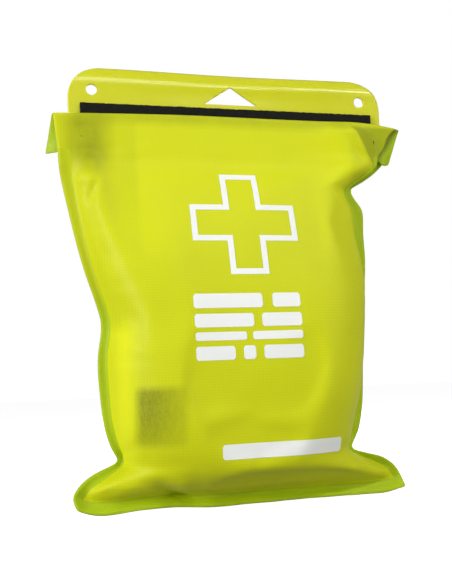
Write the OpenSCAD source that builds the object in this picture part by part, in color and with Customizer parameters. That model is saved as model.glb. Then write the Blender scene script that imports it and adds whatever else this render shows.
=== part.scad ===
// First aid kit for hikers: a welded waterproof pouch with a hang header, a hook and loop
// mouth and its usual contents.
// Millimetres. +Z is up, the printed front faces -Y, and the origin lies midway between the
// two hang holes, in the middle of the header sheet.

/* [Header] */
// Width of the header sheet
header_w = 170; // [160:1:176]
// Height of the header's top edge over the hang holes
header_top = 12.5; // [10:0.5:15]
// Radius of the header's top corners
header_corner_r = 17; // [10:0.5:20]
// Distance between the two hang holes
hole_span = 146; // [120:1:148]
// Diameter of a hang hole
hole_d = 5.5; // [4:0.5:7]
// Width of the triangular display slot
slot_w = 29; // [24:1:34]
// Height of the triangular display slot
slot_h = 9.5; // [9:0.5:11]

/* [Mouth] */
// Width of the front lip
lip_w = 184; // [178:1:188]
// Height of the lip's top edge
lip_top = -12.5; // [-14:0.5:-11]
// How far the inner hem sticks out past the lip at each end
hem_ear = 3; // [1:0.5:5]
// Length of the hook and loop strips
strip_w = 158; // [140:1:164]
// Height of the hook strip's upper edge
hook_top = -7.5; // [-8:0.5:-6]
// Height of both strips' lower edge
strip_bottom = -26; // [-28:0.5:-22]

/* [Pouch] */
// Height of the line where the side welds begin
neck_z = -34; // [-36:0.5:-33]
// Height of the pouch's bottom edge
bottom_z = -210; // [-220:1:-204]
// Width at the start of the side welds
shoulder_w = 180; // [170:1:184]
// Width at the waist, where the filling pulls the sides in
waist_w = 140; // [136:1:150]
// Width across the bottom corners
corner_w = 172; // [160:1:180]
// Width of the weld
flange_w = 6; // [4:0.5:8]
// How far the front swells out
front_bulge = 33; // [32:0.5:38]
// How far the back swells out
back_bulge = 15; // [14:0.5:18]

/* [Print] */
// Height and width of the cross
cross_size = 54; // [40:1:60]
// Width of a cross arm
cross_arm = 19.4; // [14:0.2:22]
// Width of the cross's outline
cross_line = 2.9; // [1.5:0.1:4]
// Height of the cross's centre
cross_z = -74; // [-78:1:-70]
// Sideways place of the print's middle line
print_x = -3; // [-6:1:6]

/* [Contents] */
// Length of the closed scissors
scissors_len = 88; // [80:1:90]
// Length of the tweezers
tweezers_len = 74; // [60:1:76]
// Radius of the elastic bandage roll
elastic_r = 11; // [9:0.5:11]
// Radius of the gauze bandage roll
gauze_r = 8.8; // [7:0.2:9]
// Radius of the adhesive tape roll
tape_r = 13.5; // [11.5:0.5:14]

/* [Hidden] */

$fn = 48;
// Thickness of the header sheet and the welded border
sheet_t = 1;
// Thickness of a single layer of pouch fabric
fabric_t = 0.8;
hem_t = 0.6;
hook_t = 2;
loop_t = 1.8;
strip_clearance = 0.3;
print_t = 0.3;

// Depths in front of the header sheet, from the back layer to the front one
hook_face = -sheet_t / 2 - hook_t;
loop_back = hook_face - strip_clearance;
hem_back = loop_back - loop_t;
lip_back = hem_back - hem_t;
lip_face = lip_back - fabric_t;

// The bulging shells run from v = 0 at the neck to v = 1 at the bottom weld
weld_z = bottom_z + flange_w;
rim_depth = sheet_t / 2 + 0.1;
rim_inner = 0.05;
neck_depth = -lip_face - rim_depth;
waist_v = 0.5;
corner_v = 0.85;
deepest_v = 0.55;
across_steps = 20;
down_steps = 16;

function outer_half(v) =
    waist_w / 2
    + (shoulder_w - waist_w) / 2 * pow(max(0, 1 - v / waist_v), 2)
    + (corner_w - waist_w) / 2 * pow(max(0, (v - corner_v) / (1 - corner_v)), 2);
function inner_half(v) = outer_half(v) - flange_w;
function height_at(v) = neck_z + v * (weld_z - neck_z);
function v_at(z) = (z - neck_z) / (weld_z - neck_z);

// Depth of a shell along its middle line: a slow rise to the deepest point, then a round fall
function rise(v) = pow(sin(90 * v / deepest_v), 1.3);
function fall(v) = pow(max(0, 1 - pow((v - deepest_v) / (1 - deepest_v), 3)), 0.6);
function middle_depth(side, v) =
    let (start = side < 0 ? neck_depth : 0, most = side < 0 ? front_bulge : back_bulge)
    v < deepest_v ? start + (most - start) * rise(v) : most * fall(v);
// The neck stays flat nearly to its ends, and the body is a full pillow
function fullness(v) = 2.6 + 6 * pow(max(0, 1 - v / 0.2), 2);
function across(u, v) = pow(max(0, 1 - pow(abs(u), fullness(v))), 0.62);
function swell(side, u, v) = middle_depth(side, v) * across(u, v);
function outer_depth(side, u, v) = rim_depth + swell(side, u, v);
function inner_depth(side, u, v) = rim_inner + max(0, swell(side, u, v) - 0.3);
function front_y(x, z) = -outer_depth(-1, x / inner_half(v_at(z)), v_at(z));

// Splits a quad of point numbers into two triangles
function quad(a, b, c, d) = [[a, b, c], [a, c, d]];

// A thin bulging shell: side is -1 for the front and 1 for the back
module shell(side) {
    row = across_steps + 1;
    layer = row * (down_steps + 1);
    function u_at(i) = sin(90 * (2 * i / across_steps - 1));
    function point(i, j, depth) =
        let (v = j / down_steps)
        [u_at(i) * inner_half(v), side * depth, height_at(v)];
    outer = [for (j = [0:down_steps], i = [0:across_steps])
        point(i, j, outer_depth(side, u_at(i), j / down_steps))];
    inner = [for (j = [0:down_steps], i = [0:across_steps])
        point(i, j, inner_depth(side, u_at(i), j / down_steps))];
    function at(i, j) = j * row + i;
    skin = [for (j = [0:down_steps - 1], i = [0:across_steps - 1])
        each concat(
            quad(at(i, j), at(i + 1, j), at(i + 1, j + 1), at(i, j + 1)),
            quad(layer + at(i, j), layer + at(i, j + 1),
                 layer + at(i + 1, j + 1), layer + at(i + 1, j)))];
    ends = [for (i = [0:across_steps - 1])
        each concat(
            quad(at(i, 0), layer + at(i, 0), layer + at(i + 1, 0), at(i + 1, 0)),
            quad(at(i, down_steps), at(i + 1, down_steps),
                 layer + at(i + 1, down_steps), layer + at(i, down_steps)))];
    sides = [for (j = [0:down_steps - 1])
        each concat(
            quad(at(0, j), at(0, j + 1), layer + at(0, j + 1), layer + at(0, j)),
            quad(at(across_steps, j), layer + at(across_steps, j),
                 layer + at(across_steps, j + 1), at(across_steps, j + 1)))];
    faces = concat(skin, ends, sides);
    polyhedron(
        points = concat(outer, inner),
        faces = side < 0 ? faces : [for (f = faces) [f[2], f[1], f[0]]]);
}

// Extrudes an outline drawn in X and Z from back_y towards the front
module forward(back_y, depth) {
    translate([0, back_y, 0]) rotate([90, 0, 0]) linear_extrude(depth) children();
}

module rounded_square(w, h, r) {
    square([w - 2 * r, h], center = true);
    square([w, h - 2 * r], center = true);
    for (sx = [-1, 1], sz = [-1, 1])
        translate([sx * (w / 2 - r), sz * (h / 2 - r)]) circle(r);
}

// A flat packet with a padded middle and crimped ends, centred on x and z
module packet(x, z, back_y, w, h, depth) {
    crimp = 4;
    crimp_t = 0.6;
    translate([x, 0, z]) {
        forward(back_y, depth) rounded_square(w - 2, h - 2 * crimp, 3);
        forward(back_y - (depth - crimp_t) / 2, crimp_t) square([w, h], center = true);
    }
}

// A roll lying along X with a hollow middle
module roll_x(x0, length, y, z, r, core_r) {
    translate([x0, y, z]) rotate([0, 90, 0]) difference() {
        cylinder(h = length, r = r);
        translate([0, 0, -1]) cylinder(h = length + 2, r = core_r);
    }
}

/* Pouch */

module header() {
    shoulder_z = header_top - header_corner_r;
    color("yellowgreen") forward(sheet_t / 2, sheet_t) difference() {
        union() {
            translate([-header_w / 2, neck_z]) square([header_w, shoulder_z - neck_z]);
            translate([-header_w / 2 + header_corner_r, shoulder_z])
                square([header_w - 2 * header_corner_r, header_corner_r]);
            for (sx = [-1, 1])
                translate([sx * (header_w / 2 - header_corner_r), shoulder_z])
                    circle(header_corner_r);
        }
        for (sx = [-1, 1]) translate([sx * hole_span / 2, 0]) circle(d = hole_d);
        polygon([[-slot_w / 2, -slot_h / 2], [slot_w / 2, -slot_h / 2], [0, slot_h / 2]]);
    }
}

module hook_strip() {
    color("black") forward(-sheet_t / 2, hook_t)
        translate([-strip_w / 2, strip_bottom]) square([strip_w, hook_top - strip_bottom]);
}

module back_panel() {
    color("yellowgreen") shell(1);
}

module front_panel() {
    color("greenyellow") shell(-1);
}

module weld_flange() {
    right_out = [for (j = [0:down_steps])
        [outer_half(j / down_steps), height_at(j / down_steps)]];
    right_in = [for (j = [0:down_steps])
        [inner_half(j / down_steps), height_at(j / down_steps)]];
    function mirrored(points) = [for (p = points) [-p[0], p[1]]];
    function reversed(points) = [for (i = [len(points) - 1:-1:0]) points[i]];
    color("olivedrab") forward(sheet_t / 2, sheet_t) polygon(concat(
        right_out,
        [[corner_w / 2, bottom_z], [-corner_w / 2, bottom_z]],
        reversed(mirrored(right_out)),
        mirrored(right_in),
        reversed(right_in)));
}

/* Print */

// Joins a list of outer and inner outline stations into one thin closed band on the front
module front_band(outer, inner) {
    n = len(outer);
    function pair(p) = [[p[0], front_y(p[0], p[1]) - print_t, p[1]],
                        [p[0], front_y(p[0], p[1]), p[1]]];
    points = [for (i = [0:n - 1]) each concat(pair(outer[i]), pair(inner[i]))];
    faces = [for (i = [0:n - 1])
        let (a = 4 * i, b = 4 * ((i + 1) % n))
        each concat(
            quad(a, b, b + 2, a + 2),
            quad(a + 1, a + 3, b + 3, b + 1),
            quad(a, a + 1, b + 1, b),
            quad(a + 2, b + 2, b + 3, a + 3))];
    polyhedron(points = points, faces = faces);
}

module cross_print() {
    s = cross_size / 2;
    a = cross_arm / 2;
    steps = 3;
    quarter = [[a, s], [a, a], [s, a]];
    function turned(p, k) = k == 0 ? p : turned([p[1], -p[0]], k - 1);
    corners = [for (k = [0:3], p = quarter) turned(p, k)];
    n = len(corners);
    path = [for (i = [0:n - 1], j = [0:steps - 1])
        corners[i] + (corners[(i + 1) % n] - corners[i]) * j / steps];
    inset = [for (c = corners) [c[0] - sign(c[0]) * cross_line, c[1] - sign(c[1]) * cross_line]];
    inner = [for (i = [0:n - 1], j = [0:steps - 1])
        inset[i] + (inset[(i + 1) % n] - inset[i]) * j / steps];
    function placed(points) = [for (p = points) p + [print_x, cross_z]];
    color("white") front_band(placed(path), placed(inner));
}

// A thin plain bar lying on the front between x0 and x1
module front_bar(x0, x1, z, h) {
    columns = ceil((x1 - x0) / 6);
    function corner(i, top, lift) =
        let (x = x0 + (x1 - x0) * i / columns, pz = z + (top ? h / 2 : -h / 2))
        [x, front_y(x, pz) - lift, pz];
    points = [for (i = [0:columns])
        each [corner(i, true, print_t), corner(i, false, print_t),
              corner(i, false, 0), corner(i, true, 0)]];
    sides = [for (i = [0:columns - 1], k = [0:3])
        each quad(4 * i + k, 4 * (i + 1) + k, 4 * (i + 1) + (k + 1) % 4, 4 * i + (k + 1) % 4)];
    last = 4 * columns;
    polyhedron(
        points = points,
        faces = concat(sides, quad(0, 1, 2, 3), quad(last + 3, last + 2, last + 1, last)));
}

// Plain bars in four rows and one foot bar: each row is its height, bar height and bar ends
bar_rows = [
    [-112, 7, [[-27, 7], [12, 26]]],
    [-121.5, 6.5, [[-27, 2], [6, 26]]],
    [-129, 4, [[-27, -2], [1, 26]]],
    [-137, 6.5, [[-27, -8], [-4, 2], [6, 26]]],
    [-183, 7, [[-16, 46]]]
];
module print_bars() {
    color("white") for (row = bar_rows, bar = row[2])
        front_bar(print_x + bar[0], print_x + bar[1], row[0], row[1]);
}

/* Mouth */

module front_lip() {
    // Room between the lip and the front panel's upper edge
    fold_gap = 1;
    color("greenyellow") forward(lip_back, fabric_t)
        translate([-lip_w / 2, neck_z + fold_gap]) square([lip_w, lip_top - neck_z - fold_gap]);
}

module lip_hem() {
    hem_bottom = neck_z + 3;
    hem_w = lip_w + 2 * hem_ear;
    color("yellowgreen") forward(hem_back, hem_t)
        translate([-hem_w / 2, hem_bottom]) square([hem_w, lip_top - hem_bottom]);
}

module loop_strip() {
    color("black") forward(loop_back, loop_t)
        translate([-strip_w / 2, strip_bottom]) square([strip_w, lip_top - 1 - strip_bottom]);
}

/* Contents */

module leaflet() {
    color("ivory") forward(-1.4, 1.2)
        translate([-42, -146]) square([84, 84]);
}

module triangular_bandage() {
    color("white") packet(0, -122, 8, 72, 52, 8);
}

module glove_pack() {
    color("lightblue") packet(0, -80, 3.4, 72, 32, 4);
}

module rescue_blanket() {
    color("gold") translate([0, 0, -127]) forward(-20.2, 5.6) rounded_square(60, 40, 2);
}

module large_dressing() {
    color("white") packet(-22, -126, -9.6, 40, 48, 9);
}

module medium_dressing() {
    color("white") packet(22, -130, -9.6, 40, 40, 9);
}

module gauze_compresses() {
    color("whitesmoke") for (k = [0:1]) packet(21, -95, -9.6 - 3.6 * k, 36, 24, 3.2);
}

module antiseptic_wipes() {
    color("lightcyan") for (k = [0:1]) packet(-21, -89, -9.6 - 2.6 * k, 34, 20, 2.2);
}

module plaster_pack() {
    color("dimgray") packet(-37, -168, -9.6, 22, 32, 5.4);
}

module elastic_bandage() {
    color("wheat") roll_x(-20, 58, -6, -182, elastic_r, 1.5);
}

module bandage_clips() {
    color("silver") for (x = [-6, 12])
        translate([x, -6, -182 + elastic_r]) {
            translate([-7, -2, 0]) cube([14, 4, 0.6]);
        }
}

module gauze_bandage() {
    color("white") roll_x(-18, 40, -11, -160, gauze_r, 1.2);
}

tape_x = -37;
tape_z = -176;
tape_back = 5;
tape_width = 12.5;
tape_core_r = 10;

module tape_roll() {
    color("linen") translate([tape_x, 0, tape_z]) forward(tape_back, tape_width) difference() {
        circle(tape_r);
        circle(tape_core_r);
    }
}

module tape_core() {
    color("peru") translate([tape_x, 0, tape_z]) forward(tape_back, tape_width) difference() {
        circle(tape_core_r);
        circle(tape_core_r - 1.2);
    }
}

/* Scissors, lying flat behind the dressings with their points down */

scissor_x = -14;
scissor_z = -97;
scissor_t = 1.5;
scissor_back = -3.6;
scissor_gap = 0.2;
pivot_r = 2;
pivot_clearance = 0.05;
ring_r = 11;
ring_wall = 2.4;
ring_rise = 24;

// One half in its own plane, with its ring on the right
module scissor_outline() {
    blade_len = scissors_len - ring_rise - ring_r;
    difference() {
        union() {
            polygon([[0, -blade_len], [2.5, -8], [4, 2], [9.5, 14.5], [4, 16], [-4, 7],
                     [-4.5, -8], [-4, -blade_len * 0.7]]);
            translate([ring_r, ring_rise]) circle(ring_r);
        }
        circle(pivot_r + pivot_clearance);
        translate([ring_r, ring_rise]) circle(ring_r - ring_wall);
    }
}

module scissor_blade_a() {
    color("silver") translate([scissor_x, 0, scissor_z]) mirror([1, 0, 0])
        forward(scissor_back, scissor_t) scissor_outline();
}

module scissor_blade_b() {
    color("silver") translate([scissor_x, 0, scissor_z])
        forward(scissor_back - scissor_t - scissor_gap, scissor_t) scissor_outline();
}

module scissor_pivot() {
    head_r = 3.4;
    head_t = 0.5;
    stack = 2 * scissor_t + scissor_gap;
    // Play under each head
    play = 0.1;
    color("gray") translate([scissor_x, scissor_back, scissor_z]) rotate([90, 0, 0]) {
        translate([0, 0, -play]) cylinder(h = stack + 2 * play, r = pivot_r);
        translate([0, 0, -play - head_t]) cylinder(h = head_t, r = head_r);
        translate([0, 0, stack + play]) cylinder(h = head_t, r = head_r);
    }
}

/* Tweezers, points down beside the scissors */

tweezer_x = 33;
tweezer_top = -68;
tweezer_back = -3.4;
tweezer_width = 4;
tweezer_gap = 0.2;

// One arm: side is -1 on the left
module tweezer_outline(side) {
    tip = -tweezers_len;
    polygon([
        [side * tweezer_gap, 0], [side * 1.4, 0], [side * 5.4, tip * 0.35],
        [side * 5, tip * 0.75], [side * 3.6, tip], [side * 3, tip],
        [side * 3.8, tip * 0.75], [side * 4.2, tip * 0.35], [side * tweezer_gap, -8]]);
}

module tweezer_arm_a() {
    color("silver") translate([tweezer_x, 0, tweezer_top])
        forward(tweezer_back, tweezer_width) tweezer_outline(-1);
}

module tweezer_arm_b() {
    color("silver") translate([tweezer_x, 0, tweezer_top])
        forward(tweezer_back, tweezer_width) tweezer_outline(1);
}

module safety_pins() {
    pin_len = 22;
    wire_r = 0.5;
    color("silver") for (k = [0:1]) translate([27 + 9 * k, -7.5, -146]) {
        for (sx = [-1, 1]) translate([sx * 2.2, 0, -pin_len]) cylinder(h = pin_len, r = wire_r);
        translate([-2.9, -0.9, -3]) cube([5.8, 1.8, 3]);
        translate([-2.7, -0.6, -pin_len - 1]) cube([5.4, 1.2, 1.4]);
    }
}

header();
hook_strip();
back_panel();
front_panel();
weld_flange();
cross_print();
print_bars();
front_lip();
lip_hem();
loop_strip();
leaflet();
triangular_bandage();
glove_pack();
rescue_blanket();
large_dressing();
medium_dressing();
gauze_compresses();
antiseptic_wipes();
plaster_pack();
elastic_bandage();
bandage_clips();
gauze_bandage();
tape_roll();
tape_core();
scissor_blade_a();
scissor_blade_b();
scissor_pivot();
tweezer_arm_a();
tweezer_arm_b();
safety_pins();
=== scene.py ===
"""The looks of the first aid kit: fabric, welds, print, pile and the contents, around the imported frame."""
import math

import bpy
import numpy as np
from mathutils import Matrix, Vector, noise
from mathutils.bvhtree import BVHTree


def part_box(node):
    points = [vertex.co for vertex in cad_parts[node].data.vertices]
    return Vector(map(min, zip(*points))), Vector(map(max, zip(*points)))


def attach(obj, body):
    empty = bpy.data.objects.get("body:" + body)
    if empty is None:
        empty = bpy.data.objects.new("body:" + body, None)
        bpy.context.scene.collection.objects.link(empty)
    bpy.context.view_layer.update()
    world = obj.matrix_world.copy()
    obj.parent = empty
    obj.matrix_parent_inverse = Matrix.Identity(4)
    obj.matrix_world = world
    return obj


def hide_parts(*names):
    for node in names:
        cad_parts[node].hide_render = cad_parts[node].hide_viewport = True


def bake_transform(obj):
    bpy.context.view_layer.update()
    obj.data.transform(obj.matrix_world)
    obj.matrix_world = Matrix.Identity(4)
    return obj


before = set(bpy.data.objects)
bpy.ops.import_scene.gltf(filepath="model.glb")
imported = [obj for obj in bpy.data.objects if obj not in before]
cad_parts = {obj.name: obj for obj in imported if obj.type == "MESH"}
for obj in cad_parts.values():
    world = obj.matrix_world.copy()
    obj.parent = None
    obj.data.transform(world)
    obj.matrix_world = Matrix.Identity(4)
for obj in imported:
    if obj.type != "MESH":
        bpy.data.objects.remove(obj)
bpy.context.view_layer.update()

MM = 0.001
# How far outside the object the search rays start, in metres
RAY_FROM = 0.1
scene = bpy.context.scene


def clamp(value):
    """The value, held between 0 and 1."""
    return max(0.0, min(1.0, value))


# ---------------------------------------------------------------- curves

def curve_at(points, t):
    """A point on the smooth curve through points; t runs from 0 to 1 by the points' spacing."""
    pts = np.array(points, float)
    steps = np.linalg.norm(np.diff(pts, axis=0), axis=1)
    along = np.concatenate([[0], np.cumsum(steps)]) / steps.sum()
    t = clamp(t)
    k = min(int(np.searchsorted(along, t, side="right")) - 1, len(pts) - 2)
    span = along[k + 1] - along[k]
    f = (t - along[k]) / span
    before = pts[max(k - 1, 0)]
    after = pts[min(k + 2, len(pts) - 1)]
    gap_before = along[k + 1] - along[max(k - 1, 0)]
    gap_after = along[min(k + 2, len(pts) - 1)] - along[k]
    leave = (pts[k + 1] - before) / gap_before * span
    arrive = (after - pts[k]) / gap_after * span
    return (
        (2 * f**3 - 3 * f**2 + 1) * pts[k]
        + (f**3 - 2 * f**2 + f) * leave
        + (-2 * f**3 + 3 * f**2) * pts[k + 1]
        + (f**3 - f**2) * arrive
    )


# Each curve lists (x, z) in millimetres from the hang holes. "in" is the weld's inner line and
# "out" the fabric's cut edge; both run from the neck down to the corner.
LEFT_IN = [(-84.5, -32), (-83, -46), (-80.5, -62), (-76.5, -81), (-72, -98), (-67.5, -112),
           (-66, -121), (-68, -137), (-67.5, -152), (-66.5, -166), (-64, -177), (-61, -187),
           (-66, -191.5), (-73, -196), (-79, -199.5), (-82, -203.5)]
LEFT_OUT = [(-90.5, -32), (-89.5, -44), (-86, -62), (-82, -80), (-78, -95), (-73.5, -109),
            (-71, -120), (-73, -137), (-72.5, -153), (-70.5, -170), (-67.5, -180),
            (-64.5, -186), (-70, -189), (-77, -192), (-83, -196.5), (-86.3, -202), (-84.5, -207.5)]
RIGHT_IN = [(77.5, -32), (76, -37.5), (65, -46), (60, -50.5), (61.5, -55), (64.5, -62), (65, -74),
            (67.5, -88), (68.6, -102), (66.8, -122), (64.6, -142), (61.8, -158), (58.5, -170),
            (56.5, -179), (54, -187), (62, -192.5), (70, -196), (76, -199.5), (79.5, -204)]
RIGHT_OUT = [(88, -32), (80, -40), (72, -45.5), (64.5, -50), (67.5, -56), (71, -61), (71, -74),
             (71.2, -88), (70.2, -100), (68.3, -120), (66.2, -142), (64.8, -158), (63.2, -170),
             (60.5, -180), (56.5, -187), (65.5, -190.5), (74, -193), (80.5, -199), (83.5, -208.3)]
BOTTOM_IN = [LEFT_IN[-1], (-72, -204.5), (-54, -203.5), (-38, -203), (-20, -204.5), (10, -204.5),
             (40, -204.5), (66, -204.5), RIGHT_IN[-1]]
BOTTOM_OUT = [LEFT_OUT[-1], (-74, -210.3), (-54, -209.2), (-40, -209), (-20, -210.4), (10, -210.2),
              (40, -210), (70, -210.2), RIGHT_OUT[-1]]
# The front's own edge at the top right, where the flange behind it stays in sight
FRONT_SHOULDER = [(80, -32.5), (78.6, -38.2), (66.5, -47), (62.5, -50.5)]
# The lip's cut end at the right, from the neck up
LIP_END_RIGHT = [(80, -32.5), (84.3, -27.7), (87.8, -19.5), (92.5, -15.9)]
LIP_TOP = [(-92.7, -14.7), (-74, -14.2), (-27, -13.3), (22, -13.5), (50, -13.5), (66, -13.2),
           (78, -13.9), (94, -16.4)]

NECK_Z = -32.0
BULGE_FRONT = 33.0
BULGE_BACK = 17.0
NECK_DEPTH = 5.2
BACK_NECK_DEPTH = 0.6
# How far the back reaches up behind the header, and the share of its height that this takes
BACK_RISE = 4.0
BACK_RISE_END = 0.015
# Where the bulge is deepest, as a share of the way down
DEEPEST = 0.6
SKIN_T = 0.5
# Half the gap between the sheets at the welded border, and how far its cut edge waves
WELD_Y = 0.05
RIPPLE = 0.4
# How far the bottom border kicks forward
FOOT_FORWARD = 5.0
# How far the front's neck stands off the header at both ends, and the share of its height it takes
LIP_STAND = 2.8
LIP_STAND_END = 0.08
# Share of the right edge that the front's shoulder takes
SHOULDER_T = 0.125
# Flat sizes of the sheets between the welds
FLAT_W = 170.0
FLAT_H = 187.0
LIP_FLAT_H = 20.0

SIDE_CELLS = 2
ACROSS_CELLS = 60
DOWN_CELLS = 66
LIP_CELLS = 7


def back_rise(t):
    return BACK_RISE * max(0.0, 1 - t / BACK_RISE_END)


def lip_stand(t):
    return LIP_STAND * max(0.0, 1 - t / LIP_STAND_END)


def middle_depth(side, t):
    """How far the middle of a sheet stands out, from the neck (t = 0) to the foot (t = 1)."""
    start = NECK_DEPTH if side < 0 else BACK_NECK_DEPTH
    most = BULGE_FRONT if side < 0 else BULGE_BACK
    if t < DEEPEST:
        return start + (most - start) * math.sin(math.pi / 2 * t / DEEPEST) ** 0.9
    return most * (1 - ((t - DEEPEST) / (1 - DEEPEST)) ** 2.4) ** 0.5 if t < 1 else 0.0


def across(u, t):
    """The share of the middle's depth at u, which runs from -1 to 1 between the side welds."""
    fullness = 2.6 + 6 * max(0.0, 1 - t / 0.2) ** 2 + 1.6 * math.sin(math.pi * min(1.0, t)) ** 2
    return max(0.0, 1 - abs(u) ** fullness) ** 0.62


def body_point(side, s, t):
    """A point of the front or back between the welds; s and t run from 0 to 1."""
    left, right = curve_at(LEFT_IN, t), curve_at(RIGHT_IN, t)
    bottom = curve_at(BOTTOM_IN, s)
    top = (1 - s) * np.array(LEFT_IN[0], float) + s * np.array(RIGHT_IN[0], float)
    corners = (
        (1 - s) * (1 - t) * np.array(LEFT_IN[0], float) + s * (1 - t) * np.array(RIGHT_IN[0], float)
        + (1 - s) * t * np.array(LEFT_IN[-1], float) + s * t * np.array(RIGHT_IN[-1], float)
    )
    x, z = (1 - s) * left + s * right + (1 - t) * top + t * bottom - corners
    z += back_rise(t) if side > 0 else 0.0
    depth = WELD_Y + middle_depth(side, t) * across(2 * s - 1, t)
    if side < 0:
        depth = max(depth, lip_stand(t))
    return Vector((x, side * depth, z))


def side_edge(side, i, t):
    """The cut edge beside the weld; the front's is drawn in at its right shoulder."""
    x, z = curve_at(LEFT_OUT if i < 0 else RIGHT_OUT, 0.97 * t)
    if side < 0 and i > 0 and t < SHOULDER_T:
        return curve_at(FRONT_SHOULDER, t / SHOULDER_T)
    return np.array((x, z))


def sheet_point(side, i, j):
    """A vertex of a whole sheet, welds included: i counts across and j down from the neck."""
    last_i, last_j = ACROSS_CELLS, DOWN_CELLS
    s = clamp(i / last_i)
    t = clamp(j / last_j)
    point = body_point(side, s, t)
    over_side = max(0, -i, i - last_i) / SIDE_CELLS
    over_foot = max(0, j - last_j) / SIDE_CELLS
    if over_side > 0 and over_foot > 0:
        corner = curve_at(LEFT_OUT if i < 0 else RIGHT_OUT, 1.0)
        side_end = side_edge(side, i, 1.0)
        foot_edge = curve_at(BOTTOM_OUT, 0.02 if i < 0 else 0.98)
        inner = np.array((point.x, point.z))
        a, b = over_side, over_foot
        xz = (1 - a) * (1 - b) * inner + a * (1 - b) * side_end + (1 - a) * b * foot_edge + a * b * corner
    elif over_side > 0:
        edge = side_edge(side, i, t)
        xz = (1 - over_side) * np.array((point.x, point.z)) + over_side * edge
    elif over_foot > 0:
        edge = curve_at(BOTTOM_OUT, 0.02 + 0.96 * s)
        xz = (1 - over_foot) * np.array((point.x, point.z)) + over_foot * edge
    else:
        return point
    if side > 0:
        xz = xz + np.array((0.0, back_rise(t)))
    ripple = RIPPLE * max(over_side, over_foot) * math.sin(xz[0] * 0.21 + xz[1] * 0.17)
    stand_off = lip_stand(t) if side < 0 else 0.0
    forward = FOOT_FORWARD * min(1.0, over_foot + 0.6 * over_side * max(0.0, 5 * t - 4))
    return Vector((xz[0], side * max(WELD_Y, stand_off) + ripple - forward, xz[1]))


def lip_point(i, k):
    """A vertex of the front lip: i counts across and k up from the neck."""
    f = k / LIP_CELLS
    whole = ACROSS_CELLS + 2 * SIDE_CELLS
    s = (i + SIDE_CELLS) / whole
    top = curve_at(LIP_TOP, s)
    neck = sheet_point(-1, i, 0)
    y_lip = -(NECK_DEPTH + WELD_Y)
    xz = (1 - f) * np.array((neck.x, neck.z)) + f * top
    end_pull = max(0.0, (s - 0.9) / 0.1)
    if end_pull > 0:
        straight = (1 - f) * np.array(LIP_END_RIGHT[0]) + f * np.array(LIP_TOP[-1])
        xz = xz + end_pull * (curve_at(LIP_END_RIGHT, f) - straight)
    return Vector((xz[0], (1 - f) * neck.y + f * y_lip, xz[1]))


# ---------------------------------------------------------------- meshes

def mesh_object(name, points, faces, material=None, smooth=True):
    """A new mesh object from points in millimetres."""
    mesh = bpy.data.meshes.new(name)
    mesh.from_pydata([tuple(MM * c for c in p) for p in points], [], faces)
    mesh.update()
    if smooth:
        mesh.shade_smooth()
    obj = bpy.data.objects.new(name, mesh)
    scene.collection.objects.link(obj)
    if material:
        mesh.materials.append(material)
    return obj


def coordinates(obj):
    co = np.empty(3 * len(obj.data.vertices), np.float32)
    obj.data.vertices.foreach_get("co", co)
    return co.reshape(-1, 3).astype(float)


def set_coordinates(obj, co):
    obj.data.vertices.foreach_set("co", co.astype(np.float32).ravel())
    obj.data.update()


def applied(obj):
    """Turns the object's modifiers into mesh."""
    bpy.context.view_layer.update()
    graph = bpy.context.evaluated_depsgraph_get()
    mesh = bpy.data.meshes.new_from_object(obj.evaluated_get(graph))
    obj.modifiers.clear()
    old = obj.data
    obj.data = mesh
    bpy.data.meshes.remove(old)


def modifier(obj, kind, **values):
    m = obj.modifiers.new(kind.lower(), kind)
    for key, value in values.items():
        setattr(m, key, value)
    return m


def grid_faces(columns, rows, flip=False):
    faces = []
    for j in range(rows - 1):
        for i in range(columns - 1):
            a = j * columns + i
            quad = (a, a + 1, a + 1 + columns, a + columns)
            faces.append(quad[::-1] if flip else quad)
    return faces


def grid_rim(columns, rows):
    """The vertices round a grid's edge, in order."""
    rim = list(range(columns)) + [j * columns + columns - 1 for j in range(1, rows)]
    rim += [(rows - 1) * columns + i for i in range(columns - 2, -1, -1)]
    return rim + [j * columns for j in range(rows - 2, 0, -1)]


def sheet_grid(side):
    """Start shape and flat shape of a sheet, as rows of points from the top down."""
    columns = range(-SIDE_CELLS, ACROSS_CELLS + SIDE_CELLS + 1)
    start, flat, pinned = [], [], []
    if side < 0:
        for k in range(LIP_CELLS, 0, -1):
            start += [lip_point(i, k) for i in columns]
            flat += [Vector((i * FLAT_W / ACROSS_CELLS, 0, k * LIP_FLAT_H / LIP_CELLS)) for i in columns]
            pinned += [True] * len(columns)
    for j in range(0, DOWN_CELLS + SIDE_CELLS + 1):
        for i in columns:
            start.append(sheet_point(side, i, j))
            flat.append(Vector((i * FLAT_W / ACROSS_CELLS, 0, -j * FLAT_H / DOWN_CELLS)))
            pinned.append(i <= 0 or i >= ACROSS_CELLS or j >= DOWN_CELLS or j == 0)
    return start, flat, pinned, len(columns)


CLOTH_FRAMES = 24
# The most that the simulation may move a point, in millimetres
CLOTH_CAP = 4.0


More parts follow.
